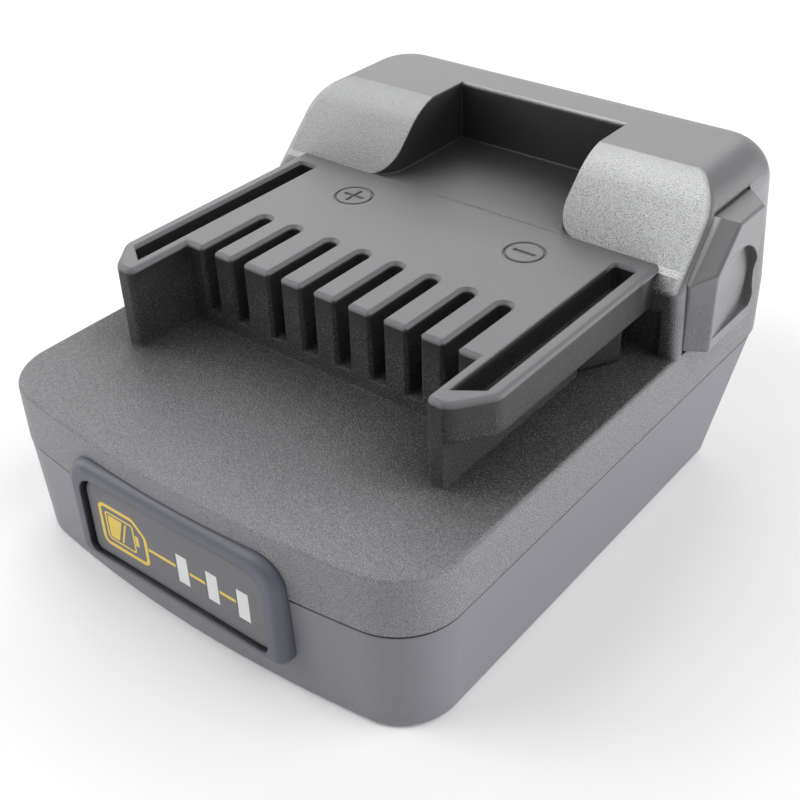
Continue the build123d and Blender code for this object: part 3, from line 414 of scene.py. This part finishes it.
def moulded_plastic(name, rgb, roughness, casing, coarse, depth, wear, hollow_shade=0.15, side=1.0):
    """Moulded plastic with spark-eroded pits and rubbed edges, and with painted light and shade: painted
    light on the horn slopes, on upright faces and below the smooth height; painted shade between the rails
    and deep in hollows; pits speckled with painted glints and shade.

    coarse and depth scale the pits, wear the rubbed edges and side the painted light on upright faces;
    the hollow argument is the tone of the painted shade deep in a slot or corner.
    """
    finish = Finish(name, IOR=1.46)
    rounded = finish.rounded_normal(casing.wear_radius)
    horns = (finish.beyond(*TOWER_FRONT) - finish.beyond(*BUTTON_SIDE)).clamped()
    # The slopes' painted light is half as strong at the left and full at the right.
    fade = finish.beyond(*HORN_RIGHT_LIGHT) * 0.5 + 0.5
    slope = finish.facing(SLOPE_WAY, SLOPE_FROM, SLOPE_FULL) * horns * fade
    low_part = 1.0 - finish.beyond("Z", casing.smooth_height, SMOOTH_BLEND)
    coarse_area = (slope + low_part).clamped() + slope * SLOPE_EXTRA
    size = casing.grain_size * coarse
    pits = finish.noise(size, 2.0, 0.55) + finish.noise(size * 2.0, 1.0) * 0.3
    # Painted glints and painted shade of the pits, over the coarse grain.
    glint_speckle = (finish.noise(size, 1.0, 0.5) - 0.5) * coarse_area * (casing.glint_speckle * depth * GLINT_SPECKLE_GAIN)
    cloud = finish.noise(CLOUD_SIZE, 3.0, 0.6)
    outside = finish.beyond(*RAIL_RIGHT) + 1.0 - finish.beyond(*RAIL_LEFT)
    rail = (finish.beyond(*DECK_TOP) - finish.beyond(*RAIL_BACK) - outside).clamped()
    # Faces in the band of the engraved marks are kept clear of the painted shade in hollows.
    marks = (finish.beyond(*MARKS_FLOOR) - finish.beyond(*MARKS_TOP)).clamped()
    open_air = finish.openness(HOLLOW_SHADE_REACH) + marks
    upright = finish.upright()
    scuffs = (finish.noise(SCUFF_SIZE, 4.0, 0.7) - SCUFF_FROM).clamped() * SCUFF_GAIN
    rubbed = (finish.edges(rounded, EDGE_GAIN) * scuffs * wear).clamped()
    tone = finish.clouded(rgb, CLOUD_TONES, cloud)
    # Painted light: everything below the smooth height is painted paler.
    tone = finish.mixed(tone, opaque(rgb, casing.painted_lower_light), low_part)
    # Painted light on the horn slopes.
    tone = finish.mixed(tone, opaque(rgb, casing.painted_slope_light), slope)
    # Painted light on upright faces, for light thrown up by the floor; the side argument scales it.
    tone = finish.mixed(tone, opaque(rgb, casing.painted_side_light * side), upright)
    # Painted shade on upright walls between the rails and under their flanges.
    tone = finish.mixed(tone, opaque(rgb, casing.painted_rail_shade), upright * rail)
    # Painted shade: the tone darkens towards the hollow tone deep in slots and corners.
    tone = finish.mixed(opaque(rgb, hollow_shade), tone, ((open_air - HOLLOW_SHADE_FROM) * HOLLOW_SHADE_STEEPNESS).clamped())
    # Dark dots are painted shade of the pits, and pale dots are painted glints.
    tone = finish.mixed(tone, BLACK, (0.0 - glint_speckle).clamped())
    tone = finish.mixed(tone, WHITE, (glint_speckle * PALE_GLINT_SHARE).clamped())
    tone = finish.mixed(tone, opaque(rgb, RUBBED_TONE), rubbed)
    relief = (coarse_area + SMOOTH_SHARE) * (casing.grain_depth * depth)
    finish.feed(Base_Color=tone, Normal=finish.bump(pits, relief, rounded),
                Roughness=roughness + (cloud - 0.5) * CLOUD_ROUGHNESS - rubbed * RUBBED_POLISH)
    return finish.material


def frosted_plastic(name, rgb):
    """Milky plastic of light guides and lamps, slightly cloudy."""
    finish = Finish(name, IOR=1.49)
    cloud = finish.noise(FROST_SIZE)
    finish.feed(Base_Color=finish.clouded(rgb, FROST_TONES, cloud),
                Roughness=FROST_ROUGHNESS + cloud * ROUGHNESS_SPREAD,
                Normal=finish.bump(finish.noise(FROST_GRAIN), FAINT_DEPTH))
    return finish.material


def printed_ink(name, rgb):
    """Screen-printed ink with slightly uneven cover."""
    finish = Finish(name)
    cover = finish.noise(INK_GRAIN, 3.0, 0.6)
    finish.feed(Base_Color=finish.clouded(rgb, INK_TONES, cover),
                Roughness=INK_ROUGHNESS + cover * ROUGHNESS_SPREAD,
                Normal=finish.bump(cover, FAINT_DEPTH))
    return finish.material


def metal(name, rgb, roughness):
    """Bright metal with drawing lines, dull patches and tarnish."""
    finish = Finish(name, Metallic=1.0)
    stretch = finish.node("ShaderNodeVectorMath", {"operation": "DIVIDE"},
                          {0: finish.metres(), 1: DRAWING_LINES})
    lines = finish.node("ShaderNodeTexNoise", {}, {"Vector": stretch, "Scale": 1.0, "Detail": 2.0}, "Fac")
    dull = finish.noise(DULL_SIZE, 3.0, 0.6)
    finish.feed(Base_Color=finish.clouded(rgb, METAL_TONES, dull),
                Roughness=roughness + (lines - 0.5) * DRAWING_ROUGHNESS + dull * ROUGHNESS_SPREAD,
                Normal=finish.bump(lines, DRAWING_DEPTH, finish.rounded_normal(METAL_EDGE)))
    return finish.material


def dress(node, material):
    """Gives a CAD node one material all over."""
    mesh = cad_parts[node].data
    mesh.materials.clear()
    mesh.materials.append(material)


def new_piece(name, mesh_code, material, body):
    """Makes a mesh object that rides on a CAD body."""
    mesh = bpy.data.meshes.new(name)
    shape = bmesh.new()
    mesh_code(shape)
    bmesh.ops.recalc_face_normals(shape, faces=shape.faces[:])
    shape.to_mesh(mesh)
    shape.free()
    mesh.materials.append(material)
    piece = bpy.data.objects.new(name, mesh)
    bpy.context.scene.collection.objects.link(piece)
    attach(piece, body)


def round_corners(points, radii, steps=6):
    """Replaces each corner of a closed outline by an arc."""
    outline = []
    count = len(points)
    for index, (corner, radius) in enumerate(zip(points, radii)):
        here = Vector(corner)
        before = (Vector(points[index - 1]) - here).normalized()
        after = (Vector(points[(index + 1) % count]) - here).normalized()
        if radius == 0:
            outline.append(here)
            continue
        half = before.angle(after) / 2
        reach = radius / math.tan(half)
        centre = here + (before + after).normalized() * (radius / math.sin(half))
        start = here + before * reach - centre
        turn = start.angle_signed(here + after * reach - centre)
        for step in range(steps + 1):
            angle = -turn * step / steps
            outline.append(centre + Vector((start.x * math.cos(angle) - start.y * math.sin(angle),
                                            start.x * math.sin(angle) + start.y * math.cos(angle))))
    return outline


def inset(outline, width):
    """Moves a closed outline inwards by a width; the outline runs anticlockwise."""
    moved = []
    count = len(outline)
    for index, here in enumerate(outline):
        before = (here - outline[index - 1]).normalized()
        after = (outline[(index + 1) % count] - here).normalized()
        side = Vector((-before.y - after.y, before.x + after.x)).normalized()
        lean = max(0.5, side.dot(Vector((-before.y, before.x))))
        moved.append(here + side * (width / lean))
    return moved


def printed_patch(shape, outer, inner, y, height):
    """A thin slab of ink between two outlines, or inside one, standing on the panel's face."""
    rings = [outer] + ([inner] if inner else [])
    front = [[shape.verts.new((p.x, y - height, p.y)) for p in ring] for ring in rings]
    back = [[shape.verts.new((p.x, y, p.y)) for p in ring] for ring in rings]
    for level in (front, back):
        if inner:
            for index in range(len(outer)):
                after = (index + 1) % len(outer)
                shape.faces.new((level[0][index], level[0][after], level[1][after], level[1][index]))
        else:
            shape.faces.new(level[0])
    for ring_front, ring_back in zip(front, back):
        for index in range(len(ring_front)):
            after = (index + 1) % len(ring_front)
            shape.faces.new((ring_front[index], ring_front[after], ring_back[after], ring_back[index]))


def rectangle(x_low, z_low, x_high, z_high):
    """Corners of an upright rectangle, anticlockwise from the lower left."""
    return [(x_low, z_low), (x_high, z_low), (x_high, z_high), (x_low, z_high)]


class ADAPTER_OT_casing(Operator):
    """Finishes both housings"""

    bl_idname = "adapter.casing"
    bl_label = "Casing"

    def execute(self, context):
        casing = context.scene.adapter_casing
        shell = moulded_plastic("moulded_casing", casing.shell_colour, casing.shell_roughness, casing,
                                coarse=1.0, depth=1.0, wear=0.15)
        base = moulded_plastic("smooth_casing", casing.base_colour, casing.base_roughness, casing,
                               coarse=0.8, depth=0.2, wear=0.1, side=0.7)
        dress("upper_housing", shell)
        dress("lower_housing", base)
        return {"FINISHED"}


class ADAPTER_OT_gauge(Operator):
    """Finishes the gauge's bezel, panel and windows"""

    bl_idname = "adapter.gauge"
    bl_label = "Gauge"

    def execute(self, context):
        casing = context.scene.adapter_casing
        gauge = context.scene.adapter_gauge
        bezel = moulded_plastic("bezel_plastic", gauge.bezel_colour, gauge.bezel_roughness, casing,
                                coarse=0.6, depth=0.15, wear=0.5)
        panel = moulded_plastic("panel_plastic", gauge.panel_colour, gauge.panel_roughness, casing,
                                coarse=0.9, depth=0.15, wear=0.2, hollow_shade=0.8)
        dress("gauge_bezel", bezel)
        dress("gauge_panel", panel)
        dress("level_windows", frosted_plastic("window_plastic", gauge.window_colour))
        return {"FINISHED"}


class ADAPTER_OT_gauge_print(Operator):
    """Prints the battery sign and the line to the windows on the gauge's panel"""

    bl_idname = "adapter.gauge_print"
    bl_label = "Gauge print"

    def execute(self, context):
        gauge = context.scene.adapter_gauge
        face = panel_low.y
        ink = printed_ink("gauge_print", gauge.print_colour)

        def frame_shape(shape):
            outline = round_corners(FRAME_CORNERS, FRAME_RADII)
            printed_patch(shape, outline, inset(outline, gauge.frame_width), face, gauge.print_height)

        def sign_shape(shape):
            outline = round_corners(rectangle(*SIGN_BOX), [SIGN_RADIUS] * 4)
            printed_patch(shape, outline, inset(outline, gauge.sign_width), face, gauge.print_height)
            lean = gauge.sign_lean
            leans = ((FILL_BOX, 0.0, lean), (BAR_BOX, lean, lean), (POLE_BOX, 0.0, 0.0))
            for box, left_lean, right_lean in leans:
                left, low, right, high = box
                corners = [(left - left_lean, low), (right - right_lean, low), (right + right_lean, high),
                           (left + left_lean, high)]
                bar = round_corners(corners, [FILL_RADIUS] * 4, 2)
                printed_patch(shape, bar, None, face, gauge.print_height)

        def line_shape(shape):
            half = gauge.line_width / 2
            ends = [LINE_START] + [x for window in range(WINDOW_COUNT) for x in self.window_span(window)]
            for start, end in zip(ends[0::2], ends[1::2]):
                bar = [Vector(p) for p in rectangle(start, LINE_HEIGHT - half, end, LINE_HEIGHT + half)]
                printed_patch(shape, bar, None, face, gauge.print_height)

        for name, mesh_code in (("gauge_print_frame", frame_shape), ("gauge_print_sign", sign_shape),
                                ("gauge_print_line", line_shape)):
            new_piece(name, mesh_code, ink, "gauge_rocker")
        return {"FINISHED"}

    def window_span(self, window):
        """Both sides of one window, with a little bare panel beside them."""
        pitch = (window_high.x - window_low.x - WINDOW_WIDTH) / (WINDOW_COUNT - 1)
        left = window_low.x + pitch * window
        return left - WINDOW_MARGIN, left + WINDOW_WIDTH + WINDOW_MARGIN


class ADAPTER_OT_latch(Operator):
    """Finishes the latch button, slider, spring and guide plate"""

    bl_idname = "adapter.latch"
    bl_label = "Latch"

    def execute(self, context):
        casing = context.scene.adapter_casing
        inside = context.scene.adapter_inside
        button = moulded_plastic("button_plastic", casing.button_colour, casing.shell_roughness, casing,
                                 coarse=1.0, depth=0.5, wear=0.15, hollow_shade=1.0)
        slider = moulded_plastic("slider_plastic", inside.slider_colour, 0.4, casing,
                                 coarse=0.7, depth=0.3, wear=0.4)
        spring = metal("spring_steel", inside.spring_colour, 0.25)
        dress("latch_button", button)
        dress("latch_slider", slider)
        dress("latch_spring", spring)
        dress("latch_guide_plate", slider)
        return {"FINISHED"}


class ADAPTER_OT_terminals(Operator):
    """Finishes the contacts of both sides and what holds them"""

    bl_idname = "adapter.terminals"
    bl_label = "Terminals"

    def execute(self, context):
        casing = context.scene.adapter_casing
        inside = context.scene.adapter_inside
        contact = metal("contact_metal", inside.contact_colour, 0.28)
        holder = moulded_plastic("holder_plastic", inside.holder_colour, 0.42, casing,
                                 coarse=0.6, depth=0.3, wear=0.3)
        dress("tool_terminals", contact)
        dress("receiver_blades", contact)
        dress("terminal_holder", holder)
        dress("receiver_block", holder)
        return {"FINISHED"}


class ADAPTER_OT_electronics(Operator):
    """Finishes the boards and what they carry"""

    bl_idname = "adapter.electronics"
    bl_label = "Electronics"

    def execute(self, context):
        casing = context.scene.adapter_casing
        inside = context.scene.adapter_inside
        board = self.board_finish(inside)
        switch = moulded_plastic("switch_plastic", inside.switch_colour, 0.45, casing,
                                 coarse=0.5, depth=0.2, wear=0.3)
        package = moulded_plastic("chip_package", inside.package_colour, 0.5, casing,
                                  coarse=0.3, depth=0.2, wear=0.2)
        sleeve = moulded_plastic("wire_sleeve", inside.sleeve_colour, 0.4, casing,
                                 coarse=0.4, depth=0.2, wear=0.1)
        dress("main_board", board)
        dress("gauge_board", board)
        dress("switch_body", switch)
        dress("switch_plunger", switch)
        dress("controller_chip", package)
        dress("power_transistors", package)
        dress("gauge_leds", frosted_plastic("lamp_plastic", inside.lamp_colour))
        dress("gauge_wires", sleeve)
        dress("capacitors", metal("capacitor_can", inside.can_colour, 0.3))
        return {"FINISHED"}

    def board_finish(self, inside):
        """Green solder mask over copper tracks."""
        finish = Finish("circuit_board", IOR=1.5)
        tracks = finish.node("ShaderNodeTexBrick", {}, {"Vector": finish.place(TRACK_PITCH), "Scale": 1.0,
                                                        "Mortar Size": TRACK_WIDTH}, "Fac")
        cloud = finish.noise(MASK_CLOUD)
        green = finish.mixed(opaque(inside.mask_dark), opaque(inside.mask_pale), cloud)
        finish.feed(Base_Color=finish.mixed(green, opaque(inside.track_colour), tracks),
                    Roughness=MASK_ROUGHNESS + cloud * ROUGHNESS_SPREAD,
                    Normal=finish.bump(tracks, TRACK_DEPTH))
        return finish.material


class ADAPTER_OT_screws(Operator):
    """Finishes the screws"""

    bl_idname = "adapter.screws"
    bl_label = "Screws"

    def execute(self, context):
        zinc = metal("screw_steel", context.scene.adapter_inside.screw_colour, 0.34)
        for node in ("housing_screws", "guide_screws", "board_screws", "block_screws"):
            dress(node, zinc)
        return {"FINISHED"}


class ADAPTER_OT_stage(Operator):
    """Sets up the camera, the lamps, the sky and the floor"""

    bl_idname = "adapter.stage"
    bl_label = "Stage"

    def execute(self, context):
        stage = context.scene.adapter_stage
        context.scene.view_settings.view_transform = "Standard"
        self.add_camera(context, stage)
        self.add_floor(context, stage)
        self.light_sky(context, stage)
        for name, spot, size, level in SOFTBOXES:
            self.add_softbox(context, name, spot, size, getattr(stage, level))
        return {"FINISHED"}

    def add_camera(self, context, stage):
        """The camera at the viewing angle of the photograph."""
        data = bpy.data.cameras.new("camera")
        data.sensor_width = CAMERA_SENSOR
        data.lens = stage.lens
        camera = bpy.data.objects.new("camera", data)
        camera.location = CAMERA_SPOT
        aim = Vector(CAMERA_AIM) - camera.location
        camera.rotation_mode = "QUATERNION"
        camera.rotation_quaternion = aim.to_track_quat("-Z", "Y") @ Quaternion((0.0, 0.0, 1.0), stage.roll)
        data.clip_start = CAMERA_NEAR
        context.scene.collection.objects.link(camera)
        context.scene.camera = camera

    def add_floor(self, context, stage):
        """A round sheet of white paper under the object."""
        finish = Finish("floor_paper", Roughness=0.9, Emission_Strength=FLOOR_GLOW)
        seen = finish.node("ShaderNodeLightPath", {}, {}, "Is Camera Ray")
        grain = finish.noise(PAPER_GRAIN)
        paper = finish.clouded(stage.floor_colour, PAPER_TONES, grain)
        finish.feed(Base_Color=paper, Emission_Color=finish.mixed(BLACK, WHITE, seen))
        shape = bmesh.new()
        turns = [step * math.tau / FLOOR_SIDES for step in range(FLOOR_SIDES)]
        reach = stage.floor_reach
        height = cad_low.z - FLOOR_DROP
        shape.faces.new([shape.verts.new((reach * math.cos(turn), reach * math.sin(turn), height))
                         for turn in turns])
        mesh = bpy.data.meshes.new("floor")
        shape.to_mesh(mesh)
        shape.free()
        mesh.materials.append(finish.material)
        floor = bpy.data.objects.new("floor", mesh)
        context.scene.collection.objects.link(floor)

    def light_sky(self, context, stage):
        """Even light from all round, which the camera and reflections see as white."""
        world = bpy.data.worlds.new("studio")
        context.scene.world = world
        world.use_nodes = True
        world.node_tree.nodes.clear()
        sky = Nodes(world.node_tree)
        rays = [sky.node("ShaderNodeLightPath", {}, {}, ray)
                for ray in ("Is Camera Ray", "Is Glossy Ray", "Is Transmission Ray")]
        seen = rays[0].or_more(rays[1]).or_more(rays[2])
        soft = sky.node("ShaderNodeBackground", {}, {"Color": WHITE, "Strength": stage.sky_level})
        bright = sky.node("ShaderNodeBackground", {}, {"Color": WHITE})
        mix = sky.node("ShaderNodeMixShader", {}, {0: seen, 1: soft, 2: bright})
        sky.node("ShaderNodeOutputWorld", {}, {"Surface": mix})

    def add_softbox(self, context, name, spot, size, level):
        """A rectangular softbox aimed at the object; its face is as bright as its level times white."""
        data = bpy.data.lights.new(name, "AREA")
        data.shape = "RECTANGLE"
        data.size, data.size_y = size
        data.energy = level * math.pi * data.size * data.size_y
        aim = Vector((0.0, 0.0, cad_high.z / 2)) - Vector(spot)
        lamp = bpy.data.objects.new(name, data)
        lamp.location = spot
        lamp.rotation_mode = "QUATERNION"
        lamp.rotation_quaternion = aim.to_track_quat("-Z", "Y")
        context.scene.collection.objects.link(lamp)


class ADAPTER_PT_panel(Panel):
    """Lists the adapter's operators and settings"""

    bl_idname = "ADAPTER_PT_panel"
    bl_label = "Tool battery adapter"
    bl_space_type = "VIEW_3D"
    bl_region_type = "UI"
    bl_category = "Adapter"

    def draw(self, context):
        for operator in OPERATORS:
            self.layout.operator(operator.bl_idname)
        for group in GROUPS:
            settings = getattr(context.scene, GROUPS[group])
            for key in group.__annotations__:
                self.layout.prop(settings, key)


GROUPS = {AdapterCasing: "adapter_casing", AdapterGauge: "adapter_gauge", AdapterInside: "adapter_inside",
          AdapterStage: "adapter_stage"}
OPERATORS = (ADAPTER_OT_casing, ADAPTER_OT_gauge, ADAPTER_OT_gauge_print, ADAPTER_OT_latch,
             ADAPTER_OT_terminals, ADAPTER_OT_electronics, ADAPTER_OT_screws, ADAPTER_OT_stage)


def register():
    """Registers the settings, the operators and the panel."""
    for group, name in GROUPS.items():
        bpy.utils.register_class(group)
        setattr(bpy.types.Scene, name, PointerProperty(type=group))
    for operator in OPERATORS:
        bpy.utils.register_class(operator)
    bpy.utils.register_class(ADAPTER_PT_panel)


def unregister():
    """Takes all of them away again."""
    bpy.utils.unregister_class(ADAPTER_PT_panel)
    for operator in OPERATORS:
        bpy.utils.unregister_class(operator)
    for group, name in GROUPS.items():
        delattr(bpy.types.Scene, name)
        bpy.utils.unregister_class(group)


def main():
    """Runs every operator in order."""
    register()
    for operator in OPERATORS:
        category, name = operator.bl_idname.split(".")
        getattr(getattr(bpy.ops, category), name)()


if __name__ == "__main__":
    main()
